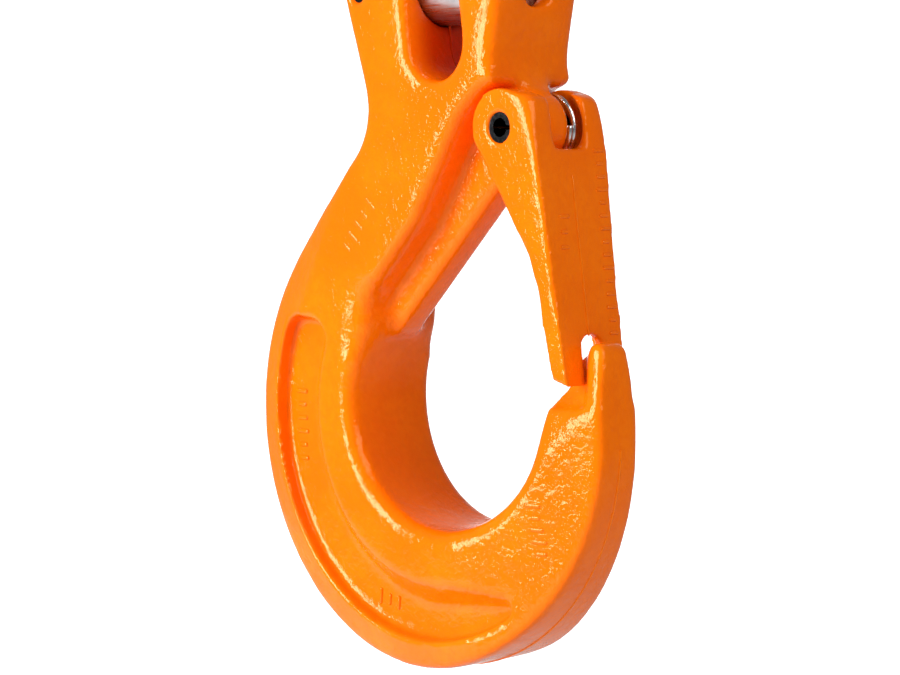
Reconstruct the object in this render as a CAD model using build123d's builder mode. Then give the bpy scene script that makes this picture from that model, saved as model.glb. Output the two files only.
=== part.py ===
"""Clevis sling hook with a sprung safety latch, for 13 mm chain.

Millimetres. +X points from the neck to the hook's tip, +Z points up the chain, and the
marked front face looks towards -Y. The origin is the middle of the load pin's axis.
"""
import os
from math import cos, radians, sin

from build123d import *

os.makedirs("parts", exist_ok=True)

# ---- forging: overall ----
half_thick = 14.0                  # half of the forging's thickness in the clevis, neck and bowl
bowl_centre = (0.6, -98.7)         # centre of the bowl's round inside, in X and Z
bowl_radius = 29.6
outer_centre = (-9.6, -104.0)      # centre of the round outside
outer_radius = 58.8
# The step beside the fin, from under the ear down to the bowl.
wall_top, wall_bend, wall_foot = (9.8, -30.0), (-6.0, -55.5), (-26.3, -76.6)
under_ear = (17.0, -23.5)          # corner above the latch's head
waist = (-21.0, -32.2)             # where the ear's side and the back's slope would meet
waist_radius = 16.0
fin_half = 4.7                     # half thickness of the thin fin between the latch's cheeks
fin_nose = (-21.3, -81.8)
pivot = (21.6, -32.7)              # latch pivot, in X and Z
boss_radius = 8.8
boss_back = 2.9                    # Y of the boss's back face, beside the spring
hub_radius = 6.5                   # of the stub that the spring is wound round

# ---- forging: clevis ----
ear_left, ear_right = -32.0, 23.5
ear_top = 17.0
slot_left, slot_right = -8.8, 7.2  # walls of the chain slot at the middle plane
slot_bottom_centre = (1.0, -12.6)
slot_bottom_radius = 8.2
slot_draft = 4.0                   # degrees

# ---- forging: tip ----
tip_outer = 47.6                   # X of the tip's outer face at the top
tip_top = -81.5
strip_inner = 42.0                 # X of the face that the closed latch's prongs reach
tongue_half = 2.9                  # half thickness of the tongue in the latch's notch
seat_top, seat_foot = -93.0, -96.9 # Z of the slanted floor under the prongs
tip_shoulder = (32.0, -97.0)       # where the bowl's inside turns towards the seat
flank_start = 8.0                  # X where the faces start to close in towards the tip
flank_slope = 0.190
bowl_edge, shoulder_edge = 4.0, 3.0

# ---- forging: rim bevel and side pocket ----
bevel_centre = (-1.0, -101.0)
bevel_radius = 52.0
bevel_slope = 0.30
bevel_start, bevel_arc = 154.0, 190.0   # degrees
bevel_run = 45.0                   # length of the flat part above the cone
pocket_floor = 8.5                 # distance of the pocket's floor from the middle plane
pocket_centre, pocket_radius = (-6.0, -102.0), 53.0
pocket_top_inside, pocket_top_outside = (-28.0, -81.2), (-62.0, -78.6)
pocket_top_rounding = 6.0
pocket_right = 24.0                # X of its end under the bowl
bank_foot = 45.7                   # radius about bevel_centre where the bank meets the floor
bank_crest = 40.35                 # and where the cut starts, at the face
bank_root = bank_foot - 11.8
bank_start, bank_stop = 141.0, 272.0   # degrees
bank_end = (27.0, -143.9)
bank_angle = 46.0                  # degrees from straight out

# ---- pins and spring ----
fit_gap = 0.03                     # radial, fixed pins in their holes
load_bore_gap = 0.08               # radial, load pin in its bore
load_pin_d = 16.0
load_pin_left, load_pin_right = -31.0, 16.5
drift_hole_d = 9.5
lock_pin_d, lock_pin_bore = 4.5, 2.3
lock_pin_x = -26.5
lock_pin_half = 12.6
latch_pin_d, latch_pin_bore = 7.0, 4.4
latch_pin_half = 11.7
turning_gap = 0.08                 # radial, latch pin in the boss
wire_d = 1.3
coil_radius = 7.6
coil_turns = 1.5
coil_pitch = 1.36
tang_length = 3.0

# ---- latch ----
head_radius = 9.0
latch_half_top, latch_half_bottom = 12.6, 9.8
outer_top = (31.6, -25.6)          # outer face, in X and Z
outer_bottom = (41.5, -91.4)
fork_half = 4.95
fork_floor = -37.5
notch_half = 3.4
notch_top = -80.0
spring_pocket_d = 18.6
spring_pocket_depth = 2.7

big = 100.0                        # length of cutting blocks that reach past the forging
clear = 16.0                       # Y of their outer faces, clear of the forging's sides


def on_circle(centre, radius, angle):
    """Point of a circle in the X-Z plane, at an angle in degrees from +X towards +Z."""
    return (centre[0] + radius * cos(radians(angle)), centre[1] + radius * sin(radians(angle)))


def corner(sketch, x, z):
    """The corner of a front-view sketch that is nearest to a place."""
    return min(sketch.vertices(), key=lambda v: (v.X - x) ** 2 + (v.Y - z) ** 2)


def from_centre(point, centre):
    """Distance in the X-Z plane from a circle's centre."""
    return ((point.X - centre[0]) ** 2 + (point.Z - centre[1]) ** 2) ** 0.5


def radial_plane(angle):
    """Plane of the Y axis and a ray from bevel_centre, for profiles that turn about bevel_centre."""
    a = radians(angle)
    return Plane(origin=bevel_origin, x_dir=(cos(a), 0, sin(a)), z_dir=(sin(a), 0, -cos(a)))


bowl_top = on_circle(bowl_centre, bowl_radius, 142.0)
tip_inner_start = on_circle(bowl_centre, bowl_radius, -18.0)
tip_outer_start = on_circle(outer_centre, outer_radius, 0.0)
back_tangent = on_circle(outer_centre, outer_radius, 135.0)
bevel_origin = (bevel_centre[0], 0, bevel_centre[1])
bank_turn = on_circle(bevel_centre, bank_foot, bank_stop)
coil_centre = (pivot[0], boss_back + 0.1 + wire_d / 2, pivot[1])
coil_path = Helix(coil_pitch, coil_pitch * coil_turns, coil_radius, center=coil_centre, direction=(0, 1, 0))
coil_first, coil_last = coil_path @ 0, coil_path @ 1

# ============================ hook body ============================
with BuildPart() as hook_body:
    # The full-thickness forging, seen from the front.
    with BuildSketch(Plane.XZ) as outline:
        with Locations(outer_centre):
            Circle(outer_radius)
        with BuildLine():
            Polyline(
                (ear_left, ear_top), (ear_left, 0.5), waist, back_tangent, (-30.0, -90.0),
                bowl_top, wall_foot, wall_bend, wall_top, under_ear, (21.0, -23.2), (20.4, -16.0),
                (ear_right, 0.0), (ear_right, ear_top), close=True,
            )
        make_face()
        with BuildLine():
            Polyline(tip_outer_start, (tip_outer, tip_top), (40.0, tip_top), (40.0, -104.0), close=True)
        make_face()
        with Locations(bowl_centre):
            Circle(bowl_radius, mode=Mode.SUBTRACT)
        with BuildLine():
            Polyline(
                bowl_top, wall_foot, wall_bend, wall_top, (60.0, -30.0), (60.0, tip_top),
                (strip_inner + 0.8, tip_top), (strip_inner, -83.4), (38.6, -85.2), tip_shoulder,
                tip_inner_start, bowl_centre, close=True,
            )
        make_face(mode=Mode.SUBTRACT)
        fillet(corner(outline, *waist), waist_radius)
        fillet(corner(outline, *wall_top), 8.0)
        fillet(corner(outline, *wall_bend), 20.0)
        fillet(corner(outline, *wall_foot), 4.0)
        fillet(corner(outline, ear_left, 0.5), 8.0)
        fillet(corner(outline, 20.4, -16.0), 8.0)
        fillet(corner(outline, tip_outer, tip_top), 3.0)
        fillet(corner(outline, *tip_shoulder), 6.0)
    extrude(amount=half_thick, both=True)
    ear_tops = edges().filter_by(Axis.X).group_by(Axis.Z)[-1]
    fillet(ear_tops, half_thick - 1.0)

    # A crescent pocket in each side: steep outside wall and ends, and a bank sloping up towards the bowl.
    for side in (-1, 1):
        with BuildSketch(Plane.XZ.offset(side * pocket_floor)) as pocket:
            with Locations(pocket_centre):
                Circle(pocket_radius)
            with Locations(bevel_centre):
                Circle(bank_crest, mode=Mode.SUBTRACT)
            with BuildLine():
                Polyline(
                    pocket_top_inside, pocket_top_outside, (-85.0, -120.0), (-40.0, -175.0),
                    (pocket_right, -175.0), (pocket_right, -140.6), (0.0, -140.6), (0.0, -110.0), close=True,
                )
            make_face(mode=Mode.INTERSECT)
            fillet(pocket.vertices().sort_by(Axis.Y)[-2:], pocket_top_rounding)
            fillet([v for v in pocket.vertices() if v.X > pocket_right - 0.1], 1.5)
        extrude(amount=side * 8.0, taper=-5, mode=Mode.SUBTRACT)
        with BuildSketch(Plane.XZ.offset(side * pocket_floor)):
            with BuildLine():
                CenterArc(bevel_centre, bank_foot, bank_start, bank_stop - bank_start)
                Polyline(
                    bank_turn, bank_end, (bank_end[0], -131.0), on_circle(bevel_centre, bank_root, bank_stop),
                )
                CenterArc(bevel_centre, bank_root, bank_start, bank_stop - bank_start)
                Line(
                    on_circle(bevel_centre, bank_root, bank_start),
                    on_circle(bevel_centre, bank_foot, bank_start),
                )
            make_face()
        extrude(amount=side * (half_thick - pocket_floor), taper=bank_angle)

    # Both faces fall away to a thinner rim round the outside of the bowl, as a cone that runs
    # out upwards in a flat bevel, and the flanks close in towards the tip and its top.
    for side in (-1, 1):
        for turning in (True, False):
            with BuildSketch(radial_plane(bevel_start)):
                Polygon(
                    (bevel_radius, side * half_thick),
                    (bevel_radius + 30, side * (half_thick - 30 * bevel_slope)),
                    (bevel_radius + 30, side * clear), (bevel_radius, side * clear), align=None,
                )
            if turning:
                revolve(axis=Axis(bevel_origin, (0, -1, 0)), revolution_arc=bevel_arc, mode=Mode.SUBTRACT)
            else:
                extrude(amount=bevel_run, mode=Mode.SUBTRACT)
        with BuildSketch(Plane.XY.offset(-75.0)):
            Polygon(
                (flank_start, side * half_thick),
                (60, side * (half_thick - (60 - flank_start) * flank_slope)),
                (60, side * clear), (flank_start, side * clear), align=None,
            )
        extrude(amount=-big, mode=Mode.SUBTRACT)

    # Wide roundings on the edges of the bowl's inside, and on the shoulder over the latch's head.
    faced = [e for e in edges() if abs((e @ 0.5).Y) > 4.0]
    in_bowl = [
        e for e in faced
        if all(abs(from_centre(e @ t, bowl_centre) - bowl_radius) < 0.1 for t in (0, 0.5, 1))
    ]
    fillet(in_bowl, bowl_edge)
    on_face = [e for e in edges() if abs((e @ 0.5).Y) > half_thick - 0.05]
    shoulder = [e for e in on_face if (e @ 0.5).X > 8.0 and -30.5 < (e @ 0.5).Z < -23.0]
    fillet(shoulder, shoulder_edge)

    # The tip also thins towards its top.
    for side in (-1, 1):
        with BuildSketch(Plane.YZ.offset(20.0)):
            Polygon(
                (side * 4.1, -80), (side * 6.1, -95), (side * 7.6, -99), (side * 11, -118),
                (side * clear, -118), (side * clear, -80), align=None,
            )
        extrude(amount=40.0, mode=Mode.SUBTRACT)
        with BuildSketch(Plane.XY.offset(-70.0)):
            Polygon(
                (strip_inner - 1, side * 3.0), (strip_inner + 3, side * 7.0),
                (strip_inner + 3, side * clear), (strip_inner - 1, side * clear), align=None,
            )
        extrude(amount=-26.5, mode=Mode.SUBTRACT)

    # Seats for the closed latch's prongs each side of the tongue: a steep floor down to a narrow shelf.
    for side in (-1, 1):
        with BuildSketch(Plane.YZ.offset(25.0)):
            Polygon(
                (side * tongue_half, -70), (side * tongue_half, seat_top), (side * 5.6, seat_foot),
                (side * 8.2, seat_foot + 0.5), (side * clear, seat_foot + 1.2), (side * clear, -70), align=None,
            )
        extrude(amount=strip_inner - 25.0, mode=Mode.SUBTRACT)

    # The slot for the chain, narrowest at the middle plane.
    slot_foot = slot_bottom_centre[1]
    with BuildSketch(Plane.XZ):
        with Locations(slot_bottom_centre):
            Circle(slot_bottom_radius)
        with BuildLine():
            Polyline(
                (slot_left, 30.0), (slot_left, 0.0), (slot_bottom_centre[0] - slot_bottom_radius, slot_foot),
                (slot_bottom_centre[0] + slot_bottom_radius, slot_foot),
                (slot_right, 0.0), (slot_right, 30.0), close=True,
            )
        make_face()
    extrude(amount=half_thick + 1, both=True, taper=-slot_draft, mode=Mode.SUBTRACT)

    # The thin fin down the throat and the boss that the latch turns on.
    with BuildSketch(Plane.XZ):
        with BuildLine():
            Polyline(
                (0.0, -30.0), (10.0, -20.0), (20.4, -20.0), (24.0, -24.3), (24.0, -36.5),
                fin_nose, (-25.8, -84.6), (-34.0, -76.0), close=True,
            )
        make_face()
        with Locations(pivot):
            Circle(boss_radius)
    extrude(amount=fin_half, both=True)
    with BuildSketch(Plane.XZ.offset(-boss_back)):
        with Locations(pivot):
            Circle(boss_radius)
            Circle(hub_radius, mode=Mode.SUBTRACT)
    extrude(amount=-4.0, mode=Mode.SUBTRACT)
    with BuildSketch(Plane.XZ):
        with Locations(pivot):
            Circle(latch_pin_d / 2 + turning_gap)
    extrude(amount=half_thick, both=True, mode=Mode.SUBTRACT)
    with BuildSketch(Plane.XZ.offset(-boss_back)):
        with Locations((coil_first.X, coil_first.Z)):
            Circle(wire_d / 2 + 0.1)
    extrude(amount=tang_length, mode=Mode.SUBTRACT)

    # The load pin's bore, blind in the right ear but for a drift hole, and the lock pin's hole.
    with BuildSketch(Plane.YZ.offset(ear_left - 1)):
        Circle(load_pin_d / 2 + load_bore_gap)
    extrude(amount=load_pin_right + 0.3 - ear_left + 1, mode=Mode.SUBTRACT)
    with BuildSketch(Plane.YZ):
        Circle(drift_hole_d / 2)
    extrude(amount=ear_right + 1, mode=Mode.SUBTRACT)
    with BuildSketch(Plane.XZ):
        with Locations((lock_pin_x, 0)):
            Circle(lock_pin_d / 2 + fit_gap)
    extrude(amount=half_thick + 1, both=True, mode=Mode.SUBTRACT)

hook_body.part.label = "hook_body"
export_step(hook_body.part, "parts/hook_body.step")

# ============================ latch ============================
with BuildPart() as latch:
    with BuildSketch(Plane.XZ) as side_view:
        with Locations(pivot):
            Circle(head_radius)
        with BuildLine():
            Polyline(
                (pivot[0] + 2.0, pivot[1] + head_radius - 0.2), outer_top, outer_bottom, (36.9, -90.1),
                (32.4, -70.0), (29.8, -62.2), (15.2, -39.2), close=True,
            )
        make_face()
        fillet(corner(side_view, 32.4, -70.0), 25.0)
        fillet(corner(side_view, *outer_top), 3.0)
    extrude(amount=latch_half_top, both=True)
    # Both flanks close in towards the lower end.
    taper = (latch_half_top - latch_half_bottom) / (outer_top[1] - outer_bottom[1])
    for side in (-1, 1):
        with BuildSketch(Plane.YZ.offset(-10.0)):
            Polygon(
                (side * latch_half_top, outer_top[1]),
                (side * (latch_half_top - 80 * taper), outer_top[1] - 80),
                (side * clear, outer_top[1] - 80), (side * clear, outer_top[1]), align=None,
            )
        extrude(amount=big, mode=Mode.SUBTRACT)
    # The channel between the cheeks is open to the throat and below, and right through at the fork.
    with BuildSketch(Plane.XZ):
        with BuildLine():
            Polyline(
                (0.0, -10.0), (60.0, -10.0), (60.0, fork_floor), (29.2, fork_floor),
                (31.0, -50.0), (33.2, -64.0), (37.2, -79.0), (38.4, -95.0), (0.0, -95.0), close=True,
            )
        make_face()
    extrude(amount=fork_half, both=True, mode=Mode.SUBTRACT)
    # The notch that straddles the tip's tongue.
    with BuildSketch(Plane.YZ.offset(25.0)) as notch:
        Polygon(
            (-notch_half, notch_top), (notch_half, notch_top),
            (notch_half, -95.0), (-notch_half, -95.0), align=None,
        )
        fillet(notch.vertices().sort_by(Axis.Y)[-2:], 3.0)
    extrude(amount=30.0, mode=Mode.SUBTRACT)
    # The outer face's top corners are cut off aslant.
    for side in (-1, 1):
        with BuildSketch(Plane(origin=(33.2, side * 12.3, -36.0), z_dir=(0.66, side * 0.70, 0.27))):
            Rectangle(60, 60)
        extrude(amount=20.0, mode=Mode.SUBTRACT)
    # Bores for the pin, and the spring's round pocket and hole in the back cheek.
    with BuildSketch(Plane.XZ):
        with Locations(pivot):
            Circle(latch_pin_d / 2 + fit_gap)
    extrude(amount=half_thick, both=True, mode=Mode.SUBTRACT)
    with BuildSketch(Plane.XZ.offset(-fork_half)):
        with Locations(pivot):
            Circle(spring_pocket_d / 2)
    extrude(amount=-spring_pocket_depth, mode=Mode.SUBTRACT)
    with BuildSketch(Plane.XZ.offset(-fork_half)):
        with Locations((coil_last.X, coil_last.Z)):
            Circle(wire_d / 2 + 0.1)
    extrude(amount=-(tang_length + 2.4), mode=Mode.SUBTRACT)

latch.part.label = "latch"
export_step(latch.part, "parts/latch.step")

# ============================ latch pin ============================
with BuildPart() as latch_pin:
    with BuildSketch(Plane.XZ):
        with Locations(pivot):
            Circle(latch_pin_d / 2)
            Circle(latch_pin_bore / 2, mode=Mode.SUBTRACT)
        with Locations((pivot[0] + latch_pin_d / 2, pivot[1])):
            Rectangle(latch_pin_d, 1.1, mode=Mode.SUBTRACT)
    extrude(amount=latch_pin_half, both=True)

latch_pin.part.label = "latch_pin"
export_step(latch_pin.part, "parts/latch_pin.step")

# ============================ latch spring ============================
with BuildPart() as latch_spring:
    with BuildLine() as wire:
        Helix(coil_pitch, coil_pitch * coil_turns, coil_radius, center=coil_centre, direction=(0, 1, 0))
    with BuildSketch(Plane(origin=wire.line @ 0, z_dir=wire.line % 0)):
        Circle(wire_d / 2)
    sweep(path=wire.line)
    for place, way in ((coil_first, 1), (coil_last, -1)):
        with BuildSketch(Plane.XZ.offset(-place.Y)):
            with Locations((place.X, place.Z)):
                Circle(wire_d / 2)
        extrude(amount=way * tang_length)
        with Locations(place):
            Sphere(wire_d / 2)

latch_spring.part.label = "latch_spring"
export_step(latch_spring.part, "parts/latch_spring.step")

# ============================ load pin ============================
with BuildPart() as load_pin:
    with BuildSketch(Plane.YZ.offset(load_pin_left)):
        Circle(load_pin_d / 2)
    extrude(amount=load_pin_right - load_pin_left)
    chamfer(edges().filter_by(GeomType.CIRCLE), 0.8)
    with BuildSketch(Plane.XZ):
        with Locations((lock_pin_x, 0)):
            Circle(lock_pin_d / 2 + fit_gap)
    extrude(amount=half_thick, both=True, mode=Mode.SUBTRACT)

load_pin.part.label = "load_pin"
export_step(load_pin.part, "parts/load_pin.step")

# ============================ lock pin ============================
with BuildPart() as lock_pin:
    with BuildSketch(Plane.XZ):
        with Locations((lock_pin_x, 0)):
            Circle(lock_pin_d / 2)
            Circle(lock_pin_bore / 2, mode=Mode.SUBTRACT)
        with Locations((lock_pin_x - lock_pin_d / 2, 0)):
            Rectangle(lock_pin_d, 0.8, mode=Mode.SUBTRACT)
    extrude(amount=lock_pin_half, both=True)

lock_pin.part.label = "lock_pin"
export_step(lock_pin.part, "parts/lock_pin.step")
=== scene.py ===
"""Looks of the clevis sling hook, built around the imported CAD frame. Metres, Z up."""

import math

import bmesh
import bpy
import numpy as np
from mathutils import Matrix, Vector


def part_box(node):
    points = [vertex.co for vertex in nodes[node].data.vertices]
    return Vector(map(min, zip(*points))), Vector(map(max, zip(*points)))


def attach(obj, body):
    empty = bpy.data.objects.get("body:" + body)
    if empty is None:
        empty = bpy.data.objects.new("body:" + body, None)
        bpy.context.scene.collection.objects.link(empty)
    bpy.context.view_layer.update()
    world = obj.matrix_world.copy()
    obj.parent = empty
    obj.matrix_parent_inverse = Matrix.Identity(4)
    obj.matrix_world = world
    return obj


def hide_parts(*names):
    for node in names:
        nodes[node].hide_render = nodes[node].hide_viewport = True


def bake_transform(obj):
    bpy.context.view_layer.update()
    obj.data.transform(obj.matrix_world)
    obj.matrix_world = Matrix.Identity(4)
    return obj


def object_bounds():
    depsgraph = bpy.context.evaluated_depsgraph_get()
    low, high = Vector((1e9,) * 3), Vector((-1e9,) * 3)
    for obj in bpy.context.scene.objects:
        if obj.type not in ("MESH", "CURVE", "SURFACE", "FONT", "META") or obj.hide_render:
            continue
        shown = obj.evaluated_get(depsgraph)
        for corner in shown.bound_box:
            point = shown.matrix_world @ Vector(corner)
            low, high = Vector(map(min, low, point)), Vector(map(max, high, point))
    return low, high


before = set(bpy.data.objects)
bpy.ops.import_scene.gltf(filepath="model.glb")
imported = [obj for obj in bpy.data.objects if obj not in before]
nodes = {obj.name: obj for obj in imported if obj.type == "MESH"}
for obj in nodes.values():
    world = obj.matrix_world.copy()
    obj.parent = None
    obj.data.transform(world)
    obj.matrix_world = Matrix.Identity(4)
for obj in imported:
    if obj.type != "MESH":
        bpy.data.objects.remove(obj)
cad_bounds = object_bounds()
scene = bpy.context.scene
MM = 0.001

# ---- places on the frame, in millimetres as in the CAD ----
PIVOT = (21.6, -32.7)              # X and Z of the latch's hinge
OUTER_CENTRE = (-9.6, -104.0)      # of the round outside
OUTER_RADIUS = 58.8
BEVEL_CENTRE = (-1.0, -101.0)      # of the rim's bevel and the pocket's bank
FACE = 14.0                        # half thickness at the flat faces
FLANK_START, FLANK_SLOPE = 8.0, 0.190   # where the faces start to close in towards the tip
SLOT_BOTTOM, SLOT_RADIUS = (1.0, -12.6), 8.2
SLOT_MIDDLE = -0.8                 # X half way between the slot's walls
POCKET_FLOOR = 8.5
LATCH_OUTER_TOP = (31.6, -25.6)    # X and Z of the ends of the latch's outer face
LATCH_OUTER_BOTTOM = (41.5, -91.4)
WIRE_RADIUS = 0.65
COIL_PITCH, COIL_TURNS, COIL_START = 1.36, 1.5, 3.65   # COIL_START is the first turn's Y

# ---- fineness of the skins, in millimetres ----
FORGING_VOXEL, LATCH_VOXEL = 0.60, 0.45

# ---- backdrop, in metres ----
FLOOR_DROP = 0.300                     # below the hook's lowest point
FLOOR_NEAR, FLOOR_FAR = -3.0, 1.9      # the floor's reach, along the view from above
SWEEP_RADIUS = 0.6                     # of the curve up into the wall
WALL_TOP, HALF_WIDTH = 4.0, 4.0
GLOW_LOW = 0.04                        # the paper's own light away from the picture's background

# ---- camera ----
VIEW_AZIMUTH, VIEW_PITCH = 47.0, 4.0   # degrees, round from -Y towards +X, and down
VIEW_DISTANCE = 0.600
VIEW_PAN = (-0.00524, -0.08250)        # right and up of the load pin's middle
LENS, SENSOR = 100.8, 36.0


# ============================ mesh helpers ============================
def link(name, mesh):
    """A new object for a mesh, in the scene."""
    obj = bpy.data.objects.new(name, mesh)
    scene.collection.objects.link(obj)
    return obj


def copy_of(node, name):
    """A plain copy of a CAD node's mesh as a new object."""
    mesh = bpy.data.meshes.new(name)
    bm = bmesh.new()
    bm.from_mesh(nodes[node].data)
    bmesh.ops.remove_doubles(bm, verts=bm.verts, dist=1e-7)
    bm.to_mesh(mesh)
    bm.free()
    return link(name, mesh)


def remesh(obj, voxel):
    """Swaps an object's mesh for an even quad skin of that voxel size, in millimetres."""
    step = obj.modifiers.new("skin", "REMESH")
    step.mode = "VOXEL"
    step.voxel_size = voxel * MM
    step.adaptivity = 0.0
    bpy.context.view_layer.update()
    depsgraph = bpy.context.evaluated_depsgraph_get()
    mesh = bpy.data.meshes.new_from_object(obj.evaluated_get(depsgraph))
    obj.modifiers.clear()
    old = obj.data
    obj.data = mesh
    bpy.data.meshes.remove(old)


def points_of(obj):
    """Vertex places as an N x 3 array, in millimetres."""
    co = np.empty(len(obj.data.vertices) * 3, np.float32)
    obj.data.vertices.foreach_get("co", co)
    return co.reshape(-1, 3).astype(np.float64) / MM


def set_points(obj, points):
    """Puts an object's vertices at places given in millimetres."""
    obj.data.vertices.foreach_set("co", (points * MM).astype(np.float32).ravel())
    obj.data.update()


def relax(obj, points, rounds, weight):
    """Moves points towards their neighbours' middle, by a weight per point, which rounds edges off."""
    ends = np.empty(len(obj.data.edges) * 2, np.int64)
    obj.data.edges.foreach_get("vertices", ends)
    a, b = ends.reshape(-1, 2).T
    n = len(points)
    degree = np.bincount(a, minlength=n) + np.bincount(b, minlength=n)
    share = (weight / np.maximum(degree, 1))[:, None]
    for _ in range(rounds):
        total = np.empty_like(points)
        for k in range(3):
            total[:, k] = np.bincount(a, points[b, k], n) + np.bincount(b, points[a, k], n)
        points = points + share * (total - degree[:, None] * points)
    return points


def ramp(value, low, high):
    """0 below low, 1 above high, smooth between."""
    t = np.clip((value - low) / (high - low), 0.0, 1.0)
    return t * t * (3.0 - 2.0 * t)


def distance_to(points, centre):
    """Distance in the X-Z plane from a centre."""
    return np.hypot(points[:, 0] - centre[0], points[:, 2] - centre[1])


def shade_smooth(obj):
    """Shades all of an object's faces smooth."""
    obj.data.polygons.foreach_set("use_smooth", np.ones(len(obj.data.polygons), bool))


def finished(name, bm):
    """A smooth-shaded object made from a bmesh, which is freed."""
    bmesh.ops.recalc_face_normals(bm, faces=bm.faces)
    mesh = bpy.data.meshes.new(name)
    bm.to_mesh(mesh)
    bm.free()
    obj = link(name, mesh)
    shade_smooth(obj)
    return obj


def tube(name, path, radius, sides=20):
    """A round tube of a radius along a path of points, with rounded ends. Millimetres."""
    path = [Vector(p) * MM for p in path]
    radius = radius * MM
    last = len(path) - 1
    steps = [path[min(i + 1, last)] - path[max(i - 1, 0)] for i in range(len(path))]
    tangents = [step.normalized() for step in steps]
    side = tangents[0].orthogonal().normalized()
    rings = []
    for i, (p, t) in enumerate(zip(path, tangents)):
        side = (side - t * side.dot(t)).normalized()
        rings.append((p, side, t.cross(side), radius))
    caps = ((0.0, 1.0), (0.35, 0.93), (0.7, 0.7), (0.93, 0.35))
    start, end = rings[0], rings[-1]
    lead = [(start[0] - tangents[0] * radius * k, start[1], start[2], radius * r) for k, r in caps[:0:-1]]
    tail = [(end[0] + tangents[-1] * radius * k, end[1], end[2], radius * r) for k, r in caps[1:]]
    rings = lead + rings + tail
    bm = bmesh.new()
    loops = []
    for p, u, v, r in rings:
        turns = [2 * math.pi * k / sides for k in range(sides)]
        loops.append([bm.verts.new(p + (u * math.cos(a) + v * math.sin(a)) * r) for a in turns])
    for one, two in zip(loops, loops[1:]):
        for k in range(sides):
            bm.faces.new((one[k], one[(k + 1) % sides], two[(k + 1) % sides], two[k]))
    bm.faces.new(loops[0][::-1])
    bm.faces.new(loops[-1])
    return finished(name, bm)


def pill(bm, centre, along, outward, length, width, height):
    """A low rounded bar on a surface, closed by a foot that is sunk into it. Millimetres."""
    centre, along, outward = Vector(centre), Vector(along).normalized(), Vector(outward).normalized()
    across = outward.cross(along)
    sides, rings, sunk = 20, 4, 0.3
    loops = []
    for tilt in [math.radians(80 * k / rings) for k in range(rings + 1)]:
        loop = []
        for k in range(sides):
            turn = 2 * math.pi * (k + 0.5) / sides
            x = math.cos(turn) * math.cos(tilt) * width / 2
            x += math.copysign((length - width) / 2, math.cos(turn))
            y = math.sin(turn) * math.cos(tilt) * width / 2
            place = centre + along * x + across * y + outward * math.sin(tilt) * height
            loop.append(bm.verts.new(place * MM))
        loops.append(loop)
    foot = [bm.verts.new(v.co - outward * sunk * MM) for v in loops[0]]
    loops.insert(0, foot)
    for one, two in zip(loops, loops[1:]):
        for k in range(sides):
            bm.faces.new((one[k], one[(k + 1) % sides], two[(k + 1) % sides], two[k]))
    bm.faces.new(foot[::-1])
    bm.faces.new(loops[-1])


def marks(name, rows):
    """Rows of raised ticks, each row given by the ends of its middle line, how many ticks it has, the
    directions along a tick and out of the surface, and a tick's length, width and height."""
    bm = bmesh.new()
    for first, last, count, along, outward, length, width, height in rows:
        for k in range(count):
            centre = Vector(first).lerp(Vector(last), k / (count - 1))
            part = (1.0, 0.7, 0.85)[k % 3]     # ticks of three lengths in turn
            pill(bm, centre, along, outward, length * part, width, height)
    return finished(name, bm)


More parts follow.
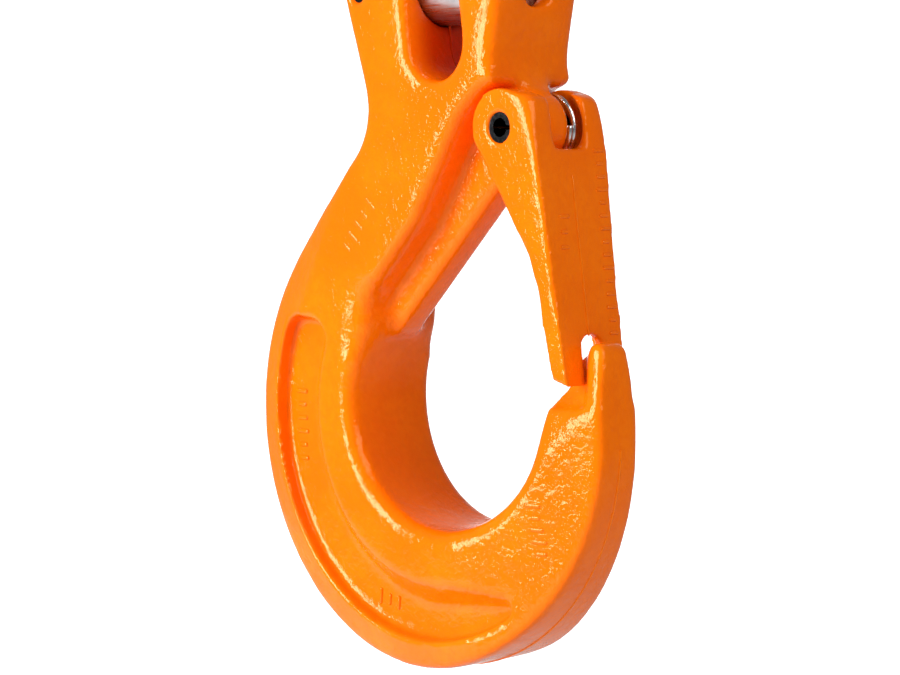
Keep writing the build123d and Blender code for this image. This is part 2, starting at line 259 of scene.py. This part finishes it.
# ============================ materials ============================
class Shader:
    """A node material with a Principled BSDF, and short calls to add the nodes that feed it."""

    def __init__(self, name, **sockets):
        self.material = bpy.data.materials.new(name)
        self.material.use_nodes = True
        self.tree = self.material.node_tree
        self.bsdf = self.tree.nodes["Principled BSDF"]
        self.place = self.add("ShaderNodeTexCoord").outputs["Object"]
        for socket, value in sockets.items():
            self.bsdf.inputs[socket.replace("_", " ")].default_value = value

    def add(self, kind, **values):
        """Adds a node, with its input sockets or its settings given by name."""
        node = self.tree.nodes.new(kind)
        for key, value in values.items():
            if key in node.inputs:
                node.inputs[key].default_value = value
            else:
                setattr(node, key, value)
        return node

    def wire(self, out, into):
        self.tree.links.new(out, into)

    def noise(self, scale, detail=3.0, roughness=0.5, distortion=0.0):
        """A noise over the object's own coordinates."""
        node = self.add("ShaderNodeTexNoise", Scale=scale, Detail=detail)
        node.inputs["Roughness"].default_value = roughness
        node.inputs["Distortion"].default_value = distortion
        self.wire(self.place, node.inputs["Vector"])
        return node.outputs["Fac"]

    def axes(self):
        """The object's own coordinates, as three outputs named X, Y and Z."""
        node = self.add("ShaderNodeSeparateXYZ")
        self.wire(self.place, node.inputs["Vector"])
        return node.outputs

    def mapped(self, value, low, high, to_low, to_high):
        """A value taken smoothly from one range to another."""
        node = self.add("ShaderNodeMapRange", interpolation_type="SMOOTHSTEP")
        sockets = ("From Min", "From Max", "To Min", "To Max")
        for socket, number in zip(sockets, (low, high, to_low, to_high)):
            node.inputs[socket].default_value = number
        self.wire(value, node.inputs["Value"])
        return node.outputs["Result"]

    def math(self, operation, one, two=None):
        """A sum on one output, with a second one or a plain number."""
        node = self.add("ShaderNodeMath", operation=operation)
        self.wire(one, node.inputs[0])
        if isinstance(two, bpy.types.NodeSocket):
            self.wire(two, node.inputs[1])
        elif two is not None:
            node.inputs[1].default_value = two
        return node.outputs[0]

    def mix(self, factor, one, two):
        """A mix of two colours, each an output or a constant."""
        node = self.add("ShaderNodeMix", data_type="RGBA")
        for socket, value in (("Factor", factor), ("A", one), ("B", two)):
            into = [s for s in node.inputs if s.name == socket and s.enabled][0]
            if isinstance(value, bpy.types.NodeSocket):
                self.wire(value, into)
            else:
                into.default_value = value
        return [s for s in node.outputs if s.enabled][0]

    def bump(self, heights):
        """Chains bumps: each height is (output, distance in metres, strength)."""
        normal = None
        for height, distance, strength in heights:
            node = self.add("ShaderNodeBump", Distance=distance, Strength=strength)
            self.wire(height, node.inputs["Height"])
            if normal:
                self.wire(normal, node.inputs["Normal"])
            normal = node.outputs["Normal"]
        self.feed("Normal", normal)

    def feed(self, socket, out):
        self.wire(out, self.bsdf.inputs[socket])


def orange_coat(name):
    """Glossy powder coat over a forged surface: orange peel, slow waves, a painted highlight on edges,
    painted shade in creases and down the chain slot.
    """
    s = Shader(name, IOR=1.46, Specular_IOR_Level=0.42, Specular_Tint=(1.0, 0.74, 0.38, 1.0))
    broad = s.mapped(s.noise(38.0, 4.0), 0.35, 0.65, 0.0, 1.0)
    fine = s.mapped(s.noise(420.0, 3.0), 0.3, 0.7, 0.0, 1.0)
    tone = s.mix(broad, (0.93, 0.150, 0.0005, 1.0), (0.97, 0.180, 0.0012, 1.0))
    tone = s.mix(s.mapped(fine, 0.0, 1.0, 0.0, 0.35), tone, (0.90, 0.135, 0.0004, 1.0))
    # Painted highlight: paler orange on convex edges; painted shade: darker orange in concave creases, both
    # from the mesh's pointiness.
    edges = s.add("ShaderNodeNewGeometry").outputs["Pointiness"]
    tone = s.mix(s.mapped(edges, 0.51, 0.60, 0.0, 0.30), tone, (1.0, 0.25, 0.01, 1.0))
    tone = s.mix(s.mapped(edges, 0.49, 0.42, 0.0, 0.35), tone, (0.80, 0.09, 0.0003, 1.0))
    # Painted shade: the base colour is darker and redder down inside the chain slot, where less light
    # reaches.
    axes = s.axes()
    painted_slot_shade = s.mapped(axes["Z"], -0.0235, -0.0170, 0.0, 0.8)
    for axis, middle, low, high in (("X", SLOT_MIDDLE * MM, 0.0092, 0.0102), ("Y", 0.0, 0.0050, 0.0125)):
        size = s.math("ABSOLUTE", s.math("SUBTRACT", axes[axis], middle))
        painted_slot_shade = s.math("MULTIPLY", painted_slot_shade, s.mapped(size, low, high, 1.0, 0.0))
    tone = s.mix(painted_slot_shade, tone, (0.55, 0.02, 0.0002, 1.0))
    s.feed("Base Color", tone)
    s.feed("Roughness", s.mapped(fine, 0.0, 1.0, 0.07, 0.13))
    peel_near = s.noise(1000.0, 2.0, 0.45, 0.7)
    peel_far = s.noise(420.0, 2.0, 0.5, 0.5)
    waves = s.noise(80.0, 2.0)
    s.bump([(waves, 0.0006, 0.6), (peel_far, 0.0003, 0.6), (peel_near, 0.00012, 0.65)])
    return s.material


def steel(name, colour, roughness, grain_axis):
    """Machined or drawn steel with fine scratches along one axis."""
    s = Shader(name, Metallic=1.0)
    stretch = s.add("ShaderNodeMapping")
    stretch.inputs["Scale"].default_value = [1.0 if k != grain_axis else 0.06 for k in range(3)]
    s.wire(s.place, stretch.inputs["Vector"])
    lines = s.add("ShaderNodeTexNoise", Scale=1400.0, Detail=4.0, Roughness=0.6)
    s.wire(stretch.outputs["Vector"], lines.inputs["Vector"])
    lines = lines.outputs["Fac"]
    dull = s.noise(90.0, 4.0)
    dark = tuple(0.72 * c for c in colour) + (1.0,)
    s.feed("Base Color", s.mix(s.mapped(dull, 0.35, 0.7, 0.0, 1.0), tuple(colour) + (1.0,), dark))
    s.feed("Roughness", s.mapped(lines, 0.3, 0.7, roughness * 0.8, roughness * 1.25))
    s.bump([(lines, 0.00003, 0.5), (dull, 0.0001, 0.2)])
    return s.material


ORANGE = orange_coat("orange_powder_coat")
PIN_STEEL = steel("ground_steel", (0.60, 0.60, 0.62), 0.30, 0)
SPRING_STEEL = steel("drawn_wire", (0.74, 0.77, 0.78), 0.22, 1)
BLACK_STEEL = steel("black_oxide", (0.045, 0.047, 0.05), 0.16, 1)


def dress(obj, material, body):
    """Gives a piece its material, slot and body."""
    obj.data.materials.clear()
    obj.data.materials.append(material)
    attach(obj, body)


# ============================ forging ============================
forging = copy_of("hook_body", "forging_skin")
remesh(forging, FORGING_VOXEL)
points = points_of(forging)
points = relax(forging, points, 5, np.full(len(points), 0.5))

# Broad rounding of the clevis ears, the slot's mouth, the waist, the rim's outer edge, the fin and the
# tip, and a little on the pocket's edges. Each zone is 1 inside, 0 outside and smooth between.
x, z = points[:, 0], points[:, 2]
thickness = np.abs(points[:, 1])
lean = x - z                       # grows across the fin, from its foot to the throat
from_outer = distance_to(points, OUTER_CENTRE)
from_bevel = distance_to(points, BEVEL_CENTRE)
ears = ramp(z, -27.0, -23.0)
pin_hole = ramp(np.hypot(points[:, 1], z), 9.5, 12.0)
left_side = ramp(-x, 12.0, 18.0) * ramp(z, -62.0, -45.0)
rim = ramp(from_outer, OUTER_RADIUS - 4.5, OUTER_RADIUS - 2.5)
fin = ramp(-thickness, -9.0, -7.0) * ramp(lean, 38.0, 42.0) * ramp(z, -84.0, -80.0)
fin = fin * ramp(-lean, -66.0, -63.0) * ramp(-z, 36.0, 42.0)
tip = ramp(z, -100.0, -95.0) * ramp(x, 33.0, 36.0)
pocket = ramp(from_bevel, 36.0, 38.0) * ramp(-from_bevel, -58.0, -54.0)
soft = np.maximum.reduce([ears * pin_hole, left_side * pin_hole, 0.55 * rim, fin, 0.4 * tip, 0.25 * pocket])
points = relax(forging, points, 45, 0.5 * soft)

# The end of the recess beside the fin melts into the bowl's edge, and the right ear's upright edges
# are fuller.
x, z = points[:, 0], points[:, 2]
recess_end = np.sqrt((x + 27.5) ** 2 + (thickness - 13.0) ** 2 + (z + 78.0) ** 2)
recess_end = ramp(-recess_end, -12.0, -6.0)
right_ear = ramp(x, 13.0, 15.0) * ramp(thickness, 7.0, 9.0) * ramp(z, -21.0, -18.0)
points = relax(forging, points, 200, 0.5 * np.maximum(recess_end, 0.4 * right_ear * pin_hole))
set_points(forging, points)
shade_smooth(forging)
dress(forging, ORANGE, "forging")
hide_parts("hook_body")

# Raised ticks in place of the forging's lettering, in millimetres.
front_out = (0, -1, 0)
flank_out = (FLANK_SLOPE, -1.0, 0.0)
neck_y = -FACE + 0.15              # just inside the flat face
bottom_row = ((-23.4, -POCKET_FLOOR, -147.3), (-16.8, -POCKET_FLOOR, -148.2))
flank_x = (30.5, 33.0)
flank_y = [-(FACE - (x - FLANK_START) * FLANK_SLOPE) + 0.1 for x in flank_x]
forging_marks = marks("forging_marks", [
    # On the neck.
    ((-21.2, neck_y, -50.6), (-29.6, neck_y, -61.4), 5, (0.80, 0, -0.60), front_out, 4.6, 1.1, 0.3),
    # On the pocket's floor, at the left and below.
    ((-53.6, -POCKET_FLOOR, -98.6), (-52.8, -POCKET_FLOOR, -115.6), 6, (1, 0, 0), front_out, 4.4, 1.2, 0.4),
    (*bottom_row, 3, (0.1, 0, 1), front_out, 4.2, 1.1, 0.4),
    # On the flank below the tip.
    ((flank_x[0], flank_y[0], -119.5), (flank_x[1], flank_y[1], -130.5), 5, (1, FLANK_SLOPE, 0), flank_out,
     4.6, 1.1, 0.4),
])
dress(forging_marks, ORANGE, "forging")


def arc(centre, radius, start, step, count):
    """Points of an arc in the middle plane, by its first angle and its step in degrees."""
    turns = [math.radians(start + step * k) for k in range(count)]
    return [(centre[0] + radius * math.cos(a), 0.0, centre[1] + radius * math.sin(a)) for a in turns]


# The parting line: a fine ridge round the rim at the middle plane, and down the chain slot.
rim_path = arc(OUTER_CENTRE, OUTER_RADIUS - 0.05, -110, 3, 37)
slot_path = [(-8.4, 0.0, -3.0)] + arc(SLOT_BOTTOM, SLOT_RADIUS, 180, 6, 31) + [(7.7, 0.0, -3.0)]
for name, ridge_path in (("rim_parting_line", rim_path), ("slot_parting_line", slot_path)):
    dress(tube(name, ridge_path, 0.30, 8), ORANGE, "forging")

# ============================ latch ============================
latch = copy_of("latch", "latch_skin")
remesh(latch, LATCH_VOXEL)
points = points_of(latch)
points = relax(latch, points, 8, 0.12 + 0.38 * ramp(points[:, 2], -76.0, -70.0))

# The fork's outer end is rounder and the long edges a little, but not the bore's rim or the prongs.
pin_bore = ramp(distance_to(points, PIVOT), 4.5, 6.0)
head = ramp(points[:, 2], -40.0, -34.0) * ramp(points[:, 0], 24.0, 28.0)
edges = 0.35 * ramp(-points[:, 2], 36.0, 42.0) * ramp(points[:, 2], -78.0, -72.0)
points = relax(latch, points, 40, 0.5 * np.maximum(head, edges) * pin_bore)
set_points(latch, points)
shade_smooth(latch)
dress(latch, ORANGE, "latch")
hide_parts("latch")

# Raised ticks in place of the latch's lettering, and its parting line, all on the outer face.
rise = (LATCH_OUTER_BOTTOM[0] - LATCH_OUTER_TOP[0]) / (LATCH_OUTER_TOP[1] - LATCH_OUTER_BOTTOM[1])
outer_out = (1.0, 0.0, rise)


def on_outer_face(y, z):
    """The place on the latch's outer face at a Y and Z."""
    return (LATCH_OUTER_TOP[0] + (LATCH_OUTER_TOP[1] - z) * rise, y, z)


latch_marks = marks("latch_marks", [
    (on_outer_face(8.6, -38.0), on_outer_face(7.4, -83.0), 16, (0, 1, 0), outer_out, 3.4, 0.8, 0.35),
    (on_outer_face(-4.9, -53.0), on_outer_face(-5.6, -60.0), 3, (0, 1, 0), outer_out, 3.4, 0.9, 0.35),
])
dress(latch_marks, ORANGE, "latch")
line_path = [on_outer_face(-0.9, -44.0 - 2.0 * k) for k in range(19)]
dress(tube("latch_parting_line", line_path, 0.28, 8), ORANGE, "latch")

# ============================ spring ============================
spring_low, spring_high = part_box("latch_spring")
coil_radius = (spring_high.x - spring_low.x) / MM / 2 - WIRE_RADIUS
steps_per_turn = 48
path = []
for i in range(int(COIL_TURNS * steps_per_turn) + 1):
    turn = 2 * math.pi * i / steps_per_turn
    along = COIL_START + COIL_PITCH * i / steps_per_turn
    path.append((PIVOT[0] + math.cos(turn) * coil_radius, along, PIVOT[1] - math.sin(turn) * coil_radius))
spring = tube("spring_coil", path, WIRE_RADIUS)
spring.data.materials.append(SPRING_STEEL)
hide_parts("latch_spring")
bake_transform(spring)

# ============================ pins ============================
for node, material in (("load_pin", PIN_STEEL), ("lock_pin", BLACK_STEEL), ("latch_pin", BLACK_STEEL)):
    nodes[node].data.materials.clear()
    nodes[node].data.materials.append(material)

# ============================ stage, light and camera ============================
floor_z = cad_bounds[0][2] - FLOOR_DROP
bm = bmesh.new()
profile = [(FLOOR_NEAR, 0.0), (FLOOR_FAR, 0.0)]
for a in [math.radians(9 * k) for k in range(1, 11)]:
    profile.append((FLOOR_FAR + SWEEP_RADIUS * math.sin(a), SWEEP_RADIUS - SWEEP_RADIUS * math.cos(a)))
profile.append((FLOOR_FAR + SWEEP_RADIUS, WALL_TOP))
rows = [[bm.verts.new((x, y, z + floor_z)) for y, z in profile] for x in (-HALF_WIDTH, HALF_WIDTH)]
for k in range(len(profile) - 1):
    bm.faces.new((rows[0][k], rows[1][k], rows[1][k + 1], rows[0][k + 1]))
mesh = bpy.data.meshes.new("backdrop")
bm.to_mesh(mesh)
bm.free()
backdrop = link("backdrop", mesh)
backdrop.rotation_euler[2] = math.radians(VIEW_AZIMUTH)
shade_smooth(backdrop)
paper = Shader("pale_paper", Roughness=0.9, Specular_IOR_Level=0.1)
paper.feed("Base Color", paper.mix(paper.noise(6.0), (0.78, 0.78, 0.78, 1.0), (0.80, 0.80, 0.80, 1.0)))
# The paper glows white only where it stands behind the hook in the main view.
axes = paper.axes()
glow = paper.mapped(paper.math("ABSOLUTE", axes["X"]), 0.62, 0.90, 1.0, GLOW_LOW)
for axis, low, high, near, far in (("Y", 0.7, 1.3, GLOW_LOW, 1.0), ("Z", 0.24, 0.60, 1.0, GLOW_LOW)):
    glow = paper.math("MULTIPLY", glow, paper.mapped(axes[axis], low, high, near, far))
paper.bsdf.inputs["Emission Color"].default_value = (1.0, 1.0, 1.0, 1.0)
paper.feed("Emission Strength", glow)
backdrop.data.materials.append(paper.material)

middle = Vector((0.0, 0.0, -0.080))


def softbox(name, azimuth, elevation, distance, width, height, power):
    """An area light aimed at the hook's middle, at an azimuth in degrees from -Y towards +X."""
    data = bpy.data.lights.new(name, "AREA")
    data.shape = "RECTANGLE"
    data.size, data.size_y = width, height
    data.energy = power
    lamp = bpy.data.objects.new(name, data)
    a, e = math.radians(azimuth), math.radians(elevation)
    away = Vector((math.sin(a) * math.cos(e), -math.cos(a) * math.cos(e), math.sin(e)))
    lamp.location = middle + away * distance
    lamp.rotation_euler = away.to_track_quat("Z", "Y").to_euler()
    scene.collection.objects.link(lamp)


softbox("key", -25, 14, 1.3, 0.50, 0.85, 26)
softbox("fill_right", 72, 38, 1.4, 0.9, 1.0, 11.5)
world = bpy.data.worlds.new("studio_air")
world.use_nodes = True
air = world.node_tree.nodes["Background"]
air.inputs["Color"].default_value = (1.0, 1.0, 1.0, 1.0)
air.inputs["Strength"].default_value = 0.17
scene.world = world
scene.view_settings.view_transform = "Standard"

azimuth, pitch = math.radians(VIEW_AZIMUTH), math.radians(VIEW_PITCH)
back = Vector((math.sin(azimuth) * math.cos(pitch), -math.cos(azimuth) * math.cos(pitch), math.sin(pitch)))
right = Vector((math.cos(azimuth), math.sin(azimuth), 0.0))
up = back.cross(right)
camera_data = bpy.data.cameras.new("camera")
camera_data.lens, camera_data.sensor_width = LENS, SENSOR
camera_data.clip_start, camera_data.clip_end = 0.01, 20.0
camera = bpy.data.objects.new("camera", camera_data)
camera.matrix_world = Matrix((right, up, back)).transposed().to_4x4()
camera.location = right * VIEW_PAN[0] + up * VIEW_PAN[1] + back * VIEW_DISTANCE
scene.collection.objects.link(camera)
scene.camera = camera
